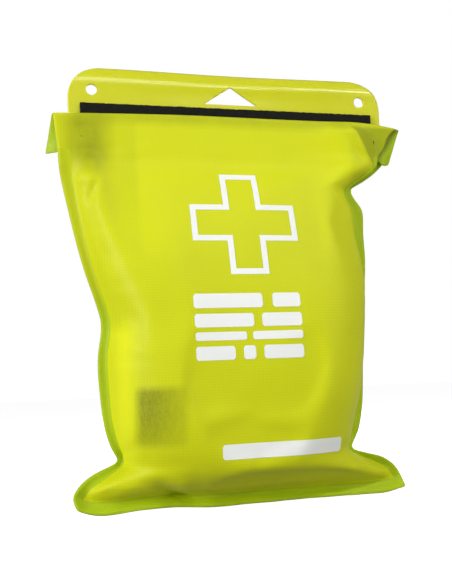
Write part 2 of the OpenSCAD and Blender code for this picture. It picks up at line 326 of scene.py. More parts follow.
def swell(obj, flat, pinned):
    """Blows the sheet out with its flat cut as its rest shape, then limits how far it moved."""
    start = np.array([v.co for v in obj.data.vertices])
    obj.shape_key_add(name="start")
    key = obj.shape_key_add(name="flat")
    for k, p in enumerate(flat):
        key.data[k].co = p * MM
    group = obj.vertex_groups.new(name="pinned")
    group.add([k for k, p in enumerate(pinned) if p], 1.0, "REPLACE")
    cloth = obj.modifiers.new("cloth", "CLOTH").settings
    cloth.quality = 6
    cloth.mass = 0.2
    cloth.tension_stiffness = 30
    cloth.compression_stiffness = 12
    cloth.shear_stiffness = 6
    cloth.bending_stiffness = 1.5
    cloth.tension_damping = 12
    cloth.compression_damping = 12
    cloth.shear_damping = 12
    cloth.bending_damping = 0.6
    cloth.air_damping = 2
    cloth.vertex_group_mass = "pinned"
    cloth.rest_shape_key = key
    cloth.use_pressure = True
    cloth.uniform_pressure_force = 4
    cloth.effector_weights.gravity = 0
    for f in range(1, CLOTH_FRAMES + 1):
        scene.frame_set(f)
    graph = bpy.context.evaluated_depsgraph_get()
    moved = np.array([v.co for v in obj.evaluated_get(graph).data.vertices])
    obj.modifiers.clear()
    scene.frame_set(1)
    obj.shape_key_clear()
    delta = moved - start
    far = np.linalg.norm(delta, axis=1, keepdims=True)
    delta *= np.tanh(far / (CLOTH_CAP * MM)) * CLOTH_CAP * MM / np.maximum(far, 1e-9)
    set_coordinates(obj, start + delta)


# ---------------------------------------------------------------- materials

def new_material(name):
    m = bpy.data.materials.new(name)
    m.use_nodes = True
    tree = m.node_tree
    tree.nodes.clear()
    out = tree.nodes.new("ShaderNodeOutputMaterial")
    shader = tree.nodes.new("ShaderNodeBsdfPrincipled")
    tree.links.new(shader.outputs[0], out.inputs[0])
    return m, tree, shader


def node(tree, kind, links=None, **values):
    """Adds a node; links maps an input's name or number to a socket or a plain value."""
    n = tree.nodes.new("ShaderNode" + kind)
    for key, value in values.items():
        setattr(n, key, value)
    for key, value in (links or {}).items():
        if isinstance(value, bpy.types.NodeSocket):
            tree.links.new(value, n.inputs[key])
        else:
            n.inputs[key].default_value = value
    return n


def maths(tree, op, a, b=0.0, c=0.0):
    return node(tree, "Math", {0: a, 1: b, 2: c}, operation=op).outputs[0]


def times(tree, product, *others):
    """The product of two or more values."""
    for other in others:
        product = maths(tree, "MULTIPLY", product, other)
    return product


def mix_colour(tree, factor, a, b):
    """Colour a where the factor is 0 and colour b where it is 1."""
    return node(tree, "Mix", {0: factor, 6: a, 7: b}, data_type="RGBA").outputs[2]


def ramp(tree, value, low, high, start, end):
    """Runs from start to end while the value runs from low to high, in millimetres."""
    limits = {0: value, 1: low * MM, 2: high * MM, 3: start, 4: end}
    return node(tree, "MapRange", limits).outputs[0]


def noise_value(tree, place, scale, detail=2.0):
    return node(tree, "TexNoise", {"Vector": place, "Scale": scale, "Detail": detail}).outputs[0]


def object_place(tree):
    return node(tree, "TexCoord").outputs["Object"]


def object_xyz(tree):
    """The place in the object, as sockets by axis name."""
    return node(tree, "SeparateXYZ", {0: object_place(tree)}).outputs


def set_inputs(shader, values):
    for key, value in values.items():
        shader.inputs[key].default_value = value


def set_colour(tree, shader, colour):
    tree.links.new(colour, shader.inputs["Base Color"])


def set_bump(tree, shader, height, strength, distance):
    """Raises the surface by height; the distance is in metres."""
    bump = node(tree, "Bump", {"Height": height, "Strength": strength, "Distance": distance})
    tree.links.new(bump.outputs[0], shader.inputs["Normal"])


def painted(material):
    """A material's tree, its shader and the colour that feeds it, to paint over."""
    tree = material.node_tree
    shader = next(n for n in tree.nodes if n.type == "BSDF_PRINCIPLED")
    return tree, shader, shader.inputs["Base Color"].links[0].from_socket


LIME = (0.65, 0.685, 0.004, 1)
LIME_DEEP = (0.51, 0.56, 0.003, 1)
# Lighter lime for a painted highlight low on the left, and for the leaflet showing through the front
LIME_LIT = (0.76, 0.80, 0.006, 1)
SHADE = (0.36, 0.41, 0.003, 1)
DEEP_SHADE = (0.22, 0.25, 0.003, 1)
PACKET_DARK = (0.20, 0.22, 0.004, 1)
# Painted shade for the tuck behind the lip's cut end
TUCK_SHADE = (0.13, 0.19, 0.002, 1)
WELD_GREEN = (0.46, 0.60, 0.003, 1)
WELD_DEEP = (0.30, 0.42, 0.003, 1)
# Scale of the finest grain in the coated fabric and the ink
FINE_GRAIN = 2600.0


def fabric_material(name, base=LIME, deep=LIME_DEEP, roughness=0.5, pitch=1.3, specular=0.2):
    """Coated ripstop: fine weave, a grid of thicker threads, and slow changes of tone."""
    m, tree, shader = new_material(name)
    place, xyz = object_place(tree), object_xyz(tree)
    threads = []
    for axis in ("X", "Z"):
        turn = maths(tree, "MULTIPLY", xyz[axis], 2 * math.pi / (pitch * MM))
        wave = maths(tree, "SINE", maths(tree, "MULTIPLY", turn, 0.5))
        threads.append(maths(tree, "POWER", maths(tree, "ABSOLUTE", wave), 10.0))
    grid = maths(tree, "MAXIMUM", threads[0], threads[1])
    fine = noise_value(tree, place, FINE_GRAIN)
    slow = noise_value(tree, place, 28.0, 3.0)
    tone = maths(tree, "MULTIPLY_ADD", grid, 0.35, maths(tree, "MULTIPLY", slow, 0.5))
    tone = maths(tree, "MULTIPLY_ADD", fine, 0.25, maths(tree, "SUBTRACT", tone, 0.12))
    set_colour(tree, shader, mix_colour(tree, tone, base, deep))
    set_bump(tree, shader, maths(tree, "MULTIPLY_ADD", fine, 0.5, grid), 0.22, 0.0001)
    set_inputs(shader, {
        "Roughness": roughness,
        "Specular IOR Level": specular,
        "Sheen Weight": 0.06,
        "Sheen Roughness": 0.4,
    })
    return m


def soft_box(tree, xyz, x0, x1, z0, z1, blur):
    """1 inside the x-z rectangle and 0 outside it, with an edge blur wide, in millimetres."""
    parts = []
    for axis, low, high in (("X", x0, x1), ("Z", z0, z1)):
        near = maths(tree, "ABSOLUTE", maths(tree, "SUBTRACT", xyz[axis], (low + high) / 2 * MM))
        room = maths(tree, "SUBTRACT", ((high - low) / 2 + blur / 2) * MM, near)
        share = node(tree, "Math", {0: room, 1: 1 / (blur * MM)}, operation="MULTIPLY", use_clamp=True)
        parts.append(share.outputs[0])
    return maths(tree, "MULTIPLY", parts[0], parts[1])


def shade_front(material):
    """Paints the front: what shows through it, a painted highlight low on the left, and painted shade in the
    upper left corner and on the facet beside the crease.
    """
    tree, shader, colour = painted(material)
    place, xyz = object_place(tree), object_xyz(tree)
    mottle = noise_value(tree, place, 110.0, 3.0)
    uneven = maths(tree, "MULTIPLY_ADD", mottle, 0.8, 0.35)

    # A painted highlight low on the left, and the leaflet, which fades out downwards
    painted_highlight = soft_box(tree, xyz, -67, -58, -186, -122, 7)
    colour = mix_colour(tree, times(tree, painted_highlight, 0.8), colour, LIME_LIT)
    leaflet = soft_box(tree, xyz, -52, 63, -104, -17.5, 3)
    sinks = ramp(tree, xyz["Z"], -96, -50, 0.0, 1.0)
    colour = mix_colour(tree, times(tree, leaflet, sinks, 0.35), colour, LIME_LIT)

    # The strip behind the lip, and painted shade in the upper left corner
    band = soft_box(tree, xyz, -76, 64, -18.5, -4, 5)
    colour = mix_colour(tree, times(tree, band, uneven, 0.6), colour, SHADE)
    corner = soft_box(tree, xyz, -85, -67, -42, -14, 11)
    colour = mix_colour(tree, times(tree, corner, uneven, 0.9), colour, DEEP_SHADE)

    # Painted shade on the facet to the right of the crease
    slant = maths(tree, "MULTIPLY_ADD", xyz["Z"], 0.555, xyz["X"])
    facet_shade = ramp(tree, slant, 55.0, 56.6, 0.0, 0.95)
    under_lip = ramp(tree, xyz["Z"], -17, -15, 1.0, 0.3)
    low_end = ramp(tree, xyz["Z"], -40, -36, 0.0, 1.0)
    colour = mix_colour(tree, times(tree, under_lip, low_end, facet_shade), colour, SHADE)

    # The dark packet low on the left
    packet = soft_box(tree, xyz, -57, -35, -179, -152, 4)
    right_fade = ramp(tree, xyz["X"], -50, -32, 1.0, 0.25)
    foot_fade = ramp(tree, xyz["Z"], -182, -165, 0.5, 1.0)
    drawn = node(tree, "Mapping", {"Vector": place, "Scale": (1300.0, 1300.0, 90.0)}).outputs[0]
    speckle = noise_value(tree, place, 900.0)
    grain = maths(tree, "MULTIPLY_ADD", speckle, 0.4, 0.3)
    grain = maths(tree, "MULTIPLY_ADD", noise_value(tree, drawn, 1.0), 0.5, grain)
    dark = {0: times(tree, right_fade, foot_fade, packet), 1: grain}
    dark = node(tree, "Math", dark, operation="MULTIPLY", use_clamp=True).outputs[0]
    set_colour(tree, shader, mix_colour(tree, dark, colour, PACKET_DARK))


def shade_weld(material):
    """The upper left part of the border is paler."""
    tree, shader, colour = painted(material)
    pale = soft_box(tree, object_xyz(tree), -100, -60, -108, -20, 16)
    set_colour(tree, shader, mix_colour(tree, times(tree, pale, 0.85), colour, LIME_DEEP))


def shade_hem(material):
    """Painted shade in the tuck where the hem's right end goes in behind the lip's cut end."""
    tree, shader, colour = painted(material)
    xyz = object_xyz(tree)
    slant = maths(tree, "MULTIPLY_ADD", xyz["Z"], -0.695, xyz["X"])
    tuck_shade = ramp(tree, slant, 103.5, 107.5, 0.85, 0.0)
    right = ramp(tree, xyz["X"], 60, 75, 0.0, 1.0)
    set_colour(tree, shader, mix_colour(tree, times(tree, tuck_shade, right), colour, TUCK_SHADE))


def print_material():
    m, tree, shader = new_material("white_print")
    place = object_place(tree)
    fine = noise_value(tree, place, FINE_GRAIN)
    slow = noise_value(tree, place, 60.0)
    tone = maths(tree, "MULTIPLY_ADD", fine, 0.3, maths(tree, "MULTIPLY", slow, 0.4))
    set_colour(tree, shader, mix_colour(tree, tone, (0.90, 0.91, 0.90, 1), (0.78, 0.80, 0.74, 1)))
    set_bump(tree, shader, fine, 0.2, 0.0001)
    set_inputs(shader, {"Roughness": 0.55})
    return m


def pile_material(name, colour):
    m, tree, shader = new_material(name)
    place = object_place(tree)
    fine = node(tree, "TexVoronoi", {"Vector": place, "Scale": 1500.0}).outputs[0]
    fluff = noise_value(tree, place, 900.0, 4.0)
    light = tuple(3 * c + 0.006 for c in colour[:3]) + (1,)
    set_colour(tree, shader, mix_colour(tree, fluff, colour, light))
    set_bump(tree, shader, fine, 0.8, 0.0004)
    set_inputs(shader, {"Roughness": 0.9, "Specular IOR Level": 0.2})
    return m


def steel_material():
    m, tree, shader = new_material("brushed_steel")
    place = object_place(tree)
    along = node(tree, "Mapping", {"Vector": place, "Scale": (4000.0, 4000.0, 120.0)}).outputs[0]
    brush = noise_value(tree, along, 1.0)
    slow = noise_value(tree, place, 150.0)
    set_colour(tree, shader, mix_colour(tree, slow, (0.62, 0.63, 0.65, 1), (0.50, 0.51, 0.53, 1)))
    tree.links.new(maths(tree, "MULTIPLY_ADD", brush, 0.25, 0.2), shader.inputs["Roughness"])
    set_bump(tree, shader, brush, 0.15, 0.0001)
    set_inputs(shader, {"Metallic": 1.0})
    return m


def paper_material(name, base, mark, roughness=0.7, specular=0.3):
    """Paper or film: slight mottling, fibres and a faint printed band."""
    m, tree, shader = new_material(name)
    place, xyz = object_place(tree), object_xyz(tree)
    fibre = noise_value(tree, place, 1400.0, 4.0)
    slow = noise_value(tree, place, 70.0)
    rows = maths(tree, "SINE", maths(tree, "MULTIPLY", xyz["Z"], 2 * math.pi / (7 * MM)))
    band = maths(tree, "GREATER_THAN", rows, 0.82)
    tone = maths(tree, "MULTIPLY_ADD", band, 0.55, times(tree, fibre, slow, 0.6))
    set_colour(tree, shader, mix_colour(tree, tone, base, mark))
    set_bump(tree, shader, maths(tree, "ADD", fibre, slow), 0.25, 0.0002)
    set_inputs(shader, {"Roughness": roughness, "Specular IOR Level": specular})
    return m


def woven_material(name, base, deep, pitch=0.7, strength=0.7):
    """Open cotton weave: over and under threads in two directions."""
    m, tree, shader = new_material(name)
    place, xyz = object_place(tree), object_xyz(tree)
    waves = []
    for axis in ("X", "Z"):
        turn = maths(tree, "MULTIPLY", xyz[axis], 2 * math.pi / (pitch * MM))
        waves.append(maths(tree, "SINE", turn))
    weave = maths(tree, "MULTIPLY_ADD", times(tree, waves[0], waves[1]), 0.5, 0.5)
    tone = maths(tree, "MULTIPLY", weave, noise_value(tree, place, 900.0, 3.0))
    set_colour(tree, shader, mix_colour(tree, tone, base, deep))
    set_bump(tree, shader, tone, strength, 0.0003)
    set_inputs(shader, {"Roughness": 0.85, "Sheen Weight": 0.3})
    return m


FABRIC = fabric_material("lime_ripstop")
FRONT_FABRIC = fabric_material("lime_ripstop_front")
shade_front(FRONT_FABRIC)
WELD = fabric_material("welded_border", WELD_GREEN, WELD_DEEP, 0.45, 0.9)
shade_weld(WELD)
HEM_WELD = fabric_material("folded_hem", WELD_GREEN, WELD_DEEP, 0.45, 0.9)
shade_hem(HEM_WELD)
FILM = fabric_material("header_film", (0.66, 0.67, 0.004, 1), (0.57, 0.58, 0.003, 1), 0.22, 1.0, 0.7)
PRINT = print_material()
BLACK_PILE = pile_material("black_pile", (0.003, 0.003, 0.002, 1))
STEEL = steel_material()
LEAFLET_PAPER = paper_material("leaflet_paper", (0.84, 0.83, 0.76, 1), (0.25, 0.27, 0.25, 1))
WRAP_PAPER = paper_material("dressing_wrap", (0.85, 0.86, 0.87, 1), (0.18, 0.42, 0.35, 1))
SACHET = paper_material("sachet_foil", (0.68, 0.78, 0.80, 1), (0.20, 0.40, 0.60, 1), 0.35, 0.6)
PLASTER_WRAP = paper_material("plaster_wrap", (0.07, 0.08, 0.05, 1), (0.20, 0.21, 0.16, 1), 0.5)
GLOVE_FILM = paper_material("glove_film", (0.50, 0.66, 0.78, 1), (0.30, 0.50, 0.68, 1), 0.18, 0.7)
CARD = paper_material("core_card", (0.46, 0.32, 0.18, 1), (0.36, 0.24, 0.13, 1), 0.85)
GOLD = paper_material("rescue_foil", (0.82, 0.55, 0.14, 1), (0.95, 0.75, 0.30, 1), 0.2)
GOLD.node_tree.nodes["Principled BSDF"].inputs["Metallic"].default_value = 0.9
COTTON = woven_material("cotton_cloth", (0.86, 0.85, 0.80, 1), (0.70, 0.68, 0.62, 1))
GAUZE = woven_material("gauze_weave", (0.88, 0.87, 0.83, 1), (0.66, 0.64, 0.58, 1), 1.1, 1.0)
ELASTIC = woven_material("elastic_weave", (0.66, 0.50, 0.34, 1), (0.44, 0.32, 0.21, 1), 0.9, 1.0)
TAPE = woven_material("tape_cloth", (0.86, 0.83, 0.76, 1), (0.72, 0.69, 0.60, 1), 0.5, 0.4)


# ---------------------------------------------------------------- contents

def loose_boxes(node_name):
    """The low and high corner, in millimetres, of each separate solid in a CAD node."""
    mesh = bpy.data.objects[node_name].data
    matrix = bpy.data.objects[node_name].matrix_world
    group = list(range(len(mesh.vertices)))

    def find(k):
        while group[k] != k:
            group[k] = group[group[k]]
            k = group[k]
        return k

    by_place = {}
    for v in mesh.vertices:
        key = tuple(round(c, 6) for c in v.co)
        group[find(v.index)] = find(by_place.setdefault(key, v.index))
    for edge in mesh.edges:
        group[find(edge.vertices[0])] = find(edge.vertices[1])
    clusters = {}
    for v in mesh.vertices:
        clusters.setdefault(find(v.index), []).append(np.array(matrix @ v.co) / MM)
    boxes = [(np.min(c, axis=0), np.max(c, axis=0)) for c in clusters.values()]
    return sorted(boxes, key=lambda box: tuple(box[0]))


def finish_piece(obj, cad):
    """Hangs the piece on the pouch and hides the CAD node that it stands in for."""
    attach(obj, "pouch")
    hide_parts(cad)


def build_packets(name, cad, material, seal=4.0):
    """Filled sachets with flat, crimped seals all round, one in each of the node's solids."""
    points, faces = [], []
    for low, high in loose_boxes(cad):
        (w, t, h), middle = high - low, (low + high) / 2
        cols, rows = max(12, int(w / 1.6)), max(12, int(h / 1.6))
        size = (cols + 1) * (rows + 1)
        first = len(points)
        for side in (-1, 1):
            for j in range(rows + 1):
                for i in range(cols + 1):
                    u, v = 2 * i / cols - 1, 1 - 2 * j / rows
                    inner_u = min(1.0, abs(u) * (w / 2) / (w / 2 - seal))
                    inner_v = min(1.0, abs(v) * (h / 2) / (h / 2 - seal))
                    crown = ((1 - inner_u**4) * (1 - inner_v**4)) ** 0.5
                    x, z = u * w / 2, v * h / 2
                    crease = 0.25 * noise.noise(Vector((x * 0.12, z * 0.12, middle[0] + side)))
                    crimp = 0.1 * math.sin(z * 2 * math.pi / 1.6) if crown == 0 else 0.0
                    thick = max(0.16, (t / 2 - 0.3) * crown + crease * crown)
                    pull = 0.5 * (inner_u**2) * (1 - v * v) + 0.2
                    points.append((
                        middle[0] + x - math.copysign(pull * abs(u), u),
                        middle[1] + side * thick + crimp,
                        middle[2] + z,
                    ))
        for side, base in ((-1, first), (1, first + size)):
            for face in grid_faces(cols + 1, rows + 1, flip=side > 0):
                faces.append(tuple(k + base for k in face))
        rim = grid_rim(cols + 1, rows + 1)
        for a, b in zip(rim, rim[1:] + rim[:1]):
            faces.append((a + first, a + first + size, b + first + size, b + first))
    obj = mesh_object(name, points, faces, material)
    finish_piece(obj, cad)
    return obj


def build_folded(name, cad, material, layers, thick):
    """A sheet folded back and forth into the node's box, as one continuous ribbon."""
    low, high = (np.array(p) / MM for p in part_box(cad))
    w, t = (high - low)[:2]
    gap = (t - thick - 0.1) / (layers - 1)
    profile = []
    for n in range(layers):
        up = n % 2 == 0
        y = low[1] + thick / 2 + 0.05 + n * gap
        inset = 0.4 + 0.5 * abs(math.sin(n * 1.9))
        ends = (low[2] + inset + gap / 2, high[2] - inset - gap / 2)
        zs = np.linspace(ends[0], ends[1], 16) if up else np.linspace(ends[1], ends[0], 16)
        profile += [(y, z) for z in zs]
        if n < layers - 1:
            turn = 1 if up else -1
            for a in (-60, -30, 0, 30, 60):
                angle = math.radians(a)
                bend_y = y + gap / 2 + gap / 2 * math.sin(angle)
                bend_z = zs[-1] + turn * gap / 2 * math.cos(angle)
                profile.append((bend_y, bend_z))
    columns = 24
    points = []
    for k, (y, z) in enumerate(profile):
        for i in range(columns + 1):
            x = low[0] + 0.3 + (w - 0.6) * i / columns
            edge = 0.25 * noise.noise(Vector((k * 0.11, i * 0.9, 5.0)))
            points.append((x + (edge if i in (0, columns) else 0.0), y, z))
    obj = mesh_object(name, points, grid_faces(columns + 1, len(profile)), material)
    modifier(obj, "SOLIDIFY", thickness=thick * MM, offset=0.0)
    applied(obj)
    finish_piece(obj, cad)
    return obj


def build_roll(name, cad, material, axis, bore, turns):
    """A wound roll: a spiral groove on both ends and a lapped end on the outside."""
    low, high = (np.array(p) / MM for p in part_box(cad))
    middle = (low + high) / 2
    along = high - low
    half = along[axis] / 2 - 0.2
    across_axes = [k for k in (0, 1, 2) if k != axis]
    outer = along[across_axes[0]] / 2 - 0.1
    around, rings = 96, turns * 4
    pitch = (outer - bore) / turns
    loop = []
    for side in (-1, 1):
        steps = range(rings + 1) if side < 0 else range(rings, -1, -1)
        for k in steps:
            loop.append((side, k / rings))
    points, faces = [], []
    for n in range(around):
        angle = 2 * math.pi * n / around
        for side, f in loop:
            r = bore + (outer - bore) * f
            wind = ((r / pitch) - angle / (2 * math.pi)) % 1.0
            dip = 0.35 * abs(2 * wind - 1) ** 3
            lap = -pitch * 0.5 * (1 - angle / (2 * math.pi)) * f**8
            p = [0.0, 0.0, 0.0]
            p[axis] = middle[axis] + side * (half - dip - 0.25 * (f > 0.97) - 0.25 * (f < 0.03))
            p[across_axes[0]] = middle[across_axes[0]] + (r + lap) * math.cos(angle)
            p[across_axes[1]] = middle[across_axes[1]] + (r + lap) * math.sin(angle)
            points.append(tuple(p))
    per = len(loop)
    flip = axis == 1
    for n in range(around):
        for k in range(per):
            a, b = n * per + k, n * per + (k + 1) % per
            c, d = (n + 1) % around * per + (k + 1) % per, (n + 1) % around * per + k
            faces.append((d, c, b, a) if flip else (a, b, c, d))
    obj = mesh_object(name, points, faces, material)
    finish_piece(obj, cad)
    return obj


INSIDE = [
    build_packets("glove_packet", "glove_pack", GLOVE_FILM),
    build_packets("large_dressing_packet", "large_dressing", WRAP_PAPER),
    build_packets("medium_dressing_packet", "medium_dressing", WRAP_PAPER),
    build_packets("compress_sachets", "gauze_compresses", SACHET, 3.0),
    build_packets("wipe_sachets", "antiseptic_wipes", SACHET, 3.0),
    build_packets("plaster_packet", "plaster_pack", PLASTER_WRAP, 2.5),
    build_folded("folded_leaflet", "leaflet", LEAFLET_PAPER, 4, 0.12),
    build_folded("folded_bandage", "triangular_bandage", COTTON, 7, 0.6),
    build_folded("folded_rescue_blanket", "rescue_blanket", GOLD, 9, 0.15),
    build_roll("elastic_roll", "elastic_bandage", ELASTIC, 0, 1.5, 9),
    build_roll("gauze_roll", "gauze_bandage", GAUZE, 0, 1.2, 8),
    build_roll("tape_winding", "tape_roll", TAPE, 1, 10.0, 7),
]

STEEL_NODES = [
    "bandage_clips", "scissor_blade_a", "scissor_blade_b", "scissor_pivot",
    "tweezer_arm_a", "tweezer_arm_b", "safety_pins",
]


def dress_cad(name, material, edge):
    """Gives a kept CAD node its material and slightly rounded edges."""
    obj = bpy.data.objects[name]
    obj.data.materials.clear()
    obj.data.materials.append(material)
    modifier(obj, "BEVEL", width=edge * MM, segments=2, limit_method="ANGLE")
    return obj


for name in STEEL_NODES:
    INSIDE.append(dress_cad(name, STEEL, 0.12))
INSIDE.append(dress_cad("tape_core", CARD, 0.2))


def face_at(surface, x, z):
    """The y at which a ray from the front meets the surface, in millimetres, or None."""
    hit = surface.ray_cast(Vector((x * MM, -RAY_FROM, z * MM)), Vector((0, 1, 0)))[0]
    return None if hit is None else hit.y / MM


def surface_finder(objects):
    """A search tree over the surfaces of one or more objects, in world places."""
    points, faces = [], []
    for obj in objects:
        first = len(points)
        points += [obj.matrix_world @ v.co for v in obj.data.vertices]
        faces += [tuple(k + first for k in p.vertices) for p in obj.data.polygons]
    return BVHTree.FromPolygons(points, faces)


bpy.context.view_layer.update()
CONTENTS = surface_finder(INSIDE)


# ---------------------------------------------------------------- sheets

# Folds pressed into the front: the ends of each fold's line (x, z), its depth and its half width.
# A negative depth raises a ridge.
FRONT_FOLDS = [
    ((-47, -198), (-30, -206), 4.0, 2.2),
    ((-44, -195), (-28, -201), -2.0, 3.0),
    ((-80, -200), (-60, -192), -2.0, 2.6),
    ((-64, -186), (-57, -177), 1.8, 2.4),
    ((-60, -197), (-40, -196), 1.2, 3.0),
    ((57, -187), (78, -198), 1.4, 2.0),
    ((60, -184), (50, -172), 1.2, 3.0),
    ((60, -19), (71.5, -38), 1.6, 2.2),
    ((60, -56), (50, -70), 1.0, 4.0),
    ((66, -78), (70, -100), 1.6, 1.8),
    ((-84, -46), (-66, -52), -1.0, 3.0),
    ((-72, -48), (-76, -62), 1.8, 1.8),
    ((-68, -110), (-52, -124), 0.8, 3.0),
    ((-66, -128), (-52, -136), -0.8, 3.0),
]
# The sharp crease from the lip's top down to the shoulder: its line, height and reach each side
CREASE = ((62.5, -14.0), (75.5, -38.0))
CREASE_HEIGHT = 5.2
CREASE_LEFT = 13.0
CREASE_RIGHT = 9.5


def along_line(x, z, line):
    """Share of the way along a line, clamped, and the signed distance to its right."""
    (x0, z0), (x1, z1) = line
    dx, dz = x1 - x0, z1 - z0
    length = math.hypot(dx, dz)
    share = np.clip(((x - x0) * dx + (z - z0) * dz) / length**2, 0, 1)
    off = np.hypot(x - x0 - share * dx, z - z0 - share * dz)
    right = np.sign((z - z0) * dx - (x - x0) * dz)
    return share, off * right


def press_folds(co):
    """Presses the folds and the crease into the front."""
    x, z = co[:, 0] / MM, co[:, 2] / MM
    shift = np.zeros(len(co))
    for start, end, depth, width in FRONT_FOLDS:
        share, off = along_line(x, z, (start, end))
        shift += depth * (0.25 + 0.75 * np.sin(np.pi * share)) * np.exp(-((off / width) ** 2))
    share, off = along_line(x, z, CREASE)
    fall = np.where(off < 0, np.exp(-((off / CREASE_LEFT) ** 2)), np.clip(1 - off / CREASE_RIGHT, 0, 1))
    shift -= CREASE_HEIGHT * fall * np.clip((-14.5 - z) / 5, 0, 1)
    co[:, 1] += shift * MM


def fine_wrinkles(co, side):
    """Small puckers that run out of the welds and slow unevenness in between."""
    for p in co:
        x, z = p[0] / MM, p[2] / MM
        if abs(p[1]) < 0.9 * MM or z > NECK_Z:
            continue
        slow = noise.noise(Vector((x * 0.035, z * 0.03, side * 3.0)))
        edge = clamp((abs(x) - 38) / 26)
        pucker = noise.noise(Vector((x * 0.05, z * 0.22, side * 7.0)))
        foot = clamp((-180 - z) / 20)
        foot_pucker = noise.noise(Vector((x * 0.16, z * 0.05, side * 11.0)))
        p[1] += side * MM * (0.6 * slow + 0.8 * edge * pucker + 0.9 * foot * foot_pucker)


# Room left over the contents, the passes that spread a push sideways, the later passes that may
# also lower it, and how much they may take off
CLEARANCE = 0.9
SPREAD_PASSES = 10
EVEN_PASSES = 8
EVEN_GIVE = 0.5


def clear_contents(co, side, columns):
    """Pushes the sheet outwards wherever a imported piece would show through, and evens it out."""
    need = np.zeros(len(co))
    for k, p in enumerate(co):
        hit = CONTENTS.ray_cast(Vector((p[0], side * RAY_FROM, p[2])), Vector((0, -side, 0)))[0]
        if hit:
            need[k] = max(0.0, side * (hit.y + side * CLEARANCE * MM - p[1]))
    need = need.reshape(-1, columns)
    shift = need.copy()
    for allowed in [0.0] * SPREAD_PASSES + [EVEN_GIVE * MM] * EVEN_PASSES:
        wide = np.pad(shift, 1, mode="edge")
        spread = (wide[:-2, 1:-1] + wide[2:, 1:-1] + wide[1:-1, :-2] + wide[1:-1, 2:]) / 4
        shift = np.maximum(need - allowed, spread)
    co[:, 1] += side * shift.ravel()


def build_sheet(name, side, cover):
    """A whole sheet with its welds: the front with its lip (side -1) or the back (side 1)."""
    start, flat, pinned, columns = sheet_grid(side)
    obj = mesh_object(name, start, grid_faces(columns, len(start) // columns, flip=side > 0), cover)
    obj.data.materials.append(WELD)
    swell(obj, flat, pinned)
    rows = len(start) // columns
    lip_rows = rows - (DOWN_CELLS + SIDE_CELLS + 1)
    for k, face in enumerate(obj.data.polygons):
        i, j = k % (columns - 1), k // (columns - 1) - lip_rows
        border = i < SIDE_CELLS or i >= columns - 1 - SIDE_CELLS or j >= DOWN_CELLS
        face.material_index = 1 if border and j >= 0 else 0
    co = coordinates(obj)
    fine_wrinkles(co, side)
    clear_contents(co, side, columns)
    set_coordinates(obj, co)
    modifier(obj, "SUBSURF", levels=1, render_levels=1)
    applied(obj)
    if side < 0:
        co = coordinates(obj)
        press_folds(co)
        set_coordinates(obj, co)
    modifier(obj, "SOLIDIFY", thickness=SKIN_T * MM, offset=-1.0)
    applied(obj)
    return obj


front = build_sheet("front_fabric", -1, FRONT_FABRIC)
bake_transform(front)
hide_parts("front_panel", "front_lip", "weld_flange")

back = build_sheet("back_fabric", 1, FABRIC)
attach(back, "pouch")
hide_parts("back_panel")


# ---------------------------------------------------------------- header

HEADER_LOW, HEADER_HIGH = (np.array(p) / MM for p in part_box("header"))
HEADER_R = 17.0
HOLE_X = 73.0
HOLE_R = 2.75
SLOT_HALF_W = 14.5
SLOT_HALF_H = 4.75


def header_bend(x, z):
    """How far the header stands off its plane: a slack wave and a top edge that leans back."""
    lean = 0.03 * max(0.0, z - 3.0) ** 2
    wave = 0.7 * math.sin((x + 30) / 21.0) * max(0.0, z + 6) / 18
    ridge = -0.9 * math.exp(-(((z - 5.5) / 3.5) ** 2)) * (0.6 + 0.4 * math.sin(x / 33.0 + 1.0))
    return lean + wave + ridge


def prism(name, outline, half=8.0):
    """A solid with the given x-z outline, across the header's thickness."""
    n = len(outline)
    points = [(x, -half, z) for x, z in outline] + [(x, half, z) for x, z in outline]
    faces = [tuple(range(n)), tuple(range(2 * n - 1, n - 1, -1))]
    faces += [(i, i + n, (i + 1) % n + n, (i + 1) % n) for i in range(n)]
    return mesh_object(name, points, faces, smooth=False)


def arc(cx, cz, r, start, end, steps):
    """Points round an arc, in degrees from +X towards +Z."""
    angles = [math.radians(start + (end - start) * k / steps) for k in range(steps + 1)]
    return [(cx + r * math.cos(a), cz + r * math.sin(a)) for a in angles]


def cut(obj, tool, operation):
    modifier(obj, "BOOLEAN", operation=operation, object=tool, solver="EXACT")
    applied(obj)
    bpy.data.objects.remove(tool)


def build_header():
    """The stiff sheet, bent as a grid and then cut to its outline, its holes and its slot."""
    step = 1.5
    pad = 3.0
    columns = int((HEADER_HIGH[0] - HEADER_LOW[0] + 2 * pad) / step) + 1
    rows = int((HEADER_HIGH[2] - HEADER_LOW[2] + 2 * pad) / step) + 1
    points = []
    for j in range(rows):
        for i in range(columns):
            x = HEADER_LOW[0] - pad + i * step
            z = HEADER_HIGH[2] + pad - j * step
            points.append((x, header_bend(x, z), z))
    obj = mesh_object("header_sheet", points, grid_faces(columns, rows), FILM)
    modifier(obj, "SOLIDIFY", thickness=0.9 * MM, offset=0.0)
    applied(obj)
    half_w, top, foot = HEADER_HIGH[0], HEADER_HIGH[2], HEADER_LOW[2] + 0.5
    outline = [(-half_w, foot), (half_w, foot)]
    outline += arc(half_w - HEADER_R, top - HEADER_R, HEADER_R, 0, 90, 16)
    outline += arc(-half_w + HEADER_R, top - HEADER_R, HEADER_R, 90, 180, 16)
    cut(obj, prism("header_outline", outline), "INTERSECT")
    for side in (-1, 1):
        cut(obj, prism("hang_hole", arc(side * HOLE_X, 0, HOLE_R, 0, 348.75, 31)), "DIFFERENCE")
    slot = [(-SLOT_HALF_W, -SLOT_HALF_H), (SLOT_HALF_W, -SLOT_HALF_H), (0, SLOT_HALF_H)]
    cut(obj, prism("display_slot", slot), "DIFFERENCE")
    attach(obj, "pouch")
    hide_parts("header")


build_header()


# ---------------------------------------------------------------- lip hem and strips

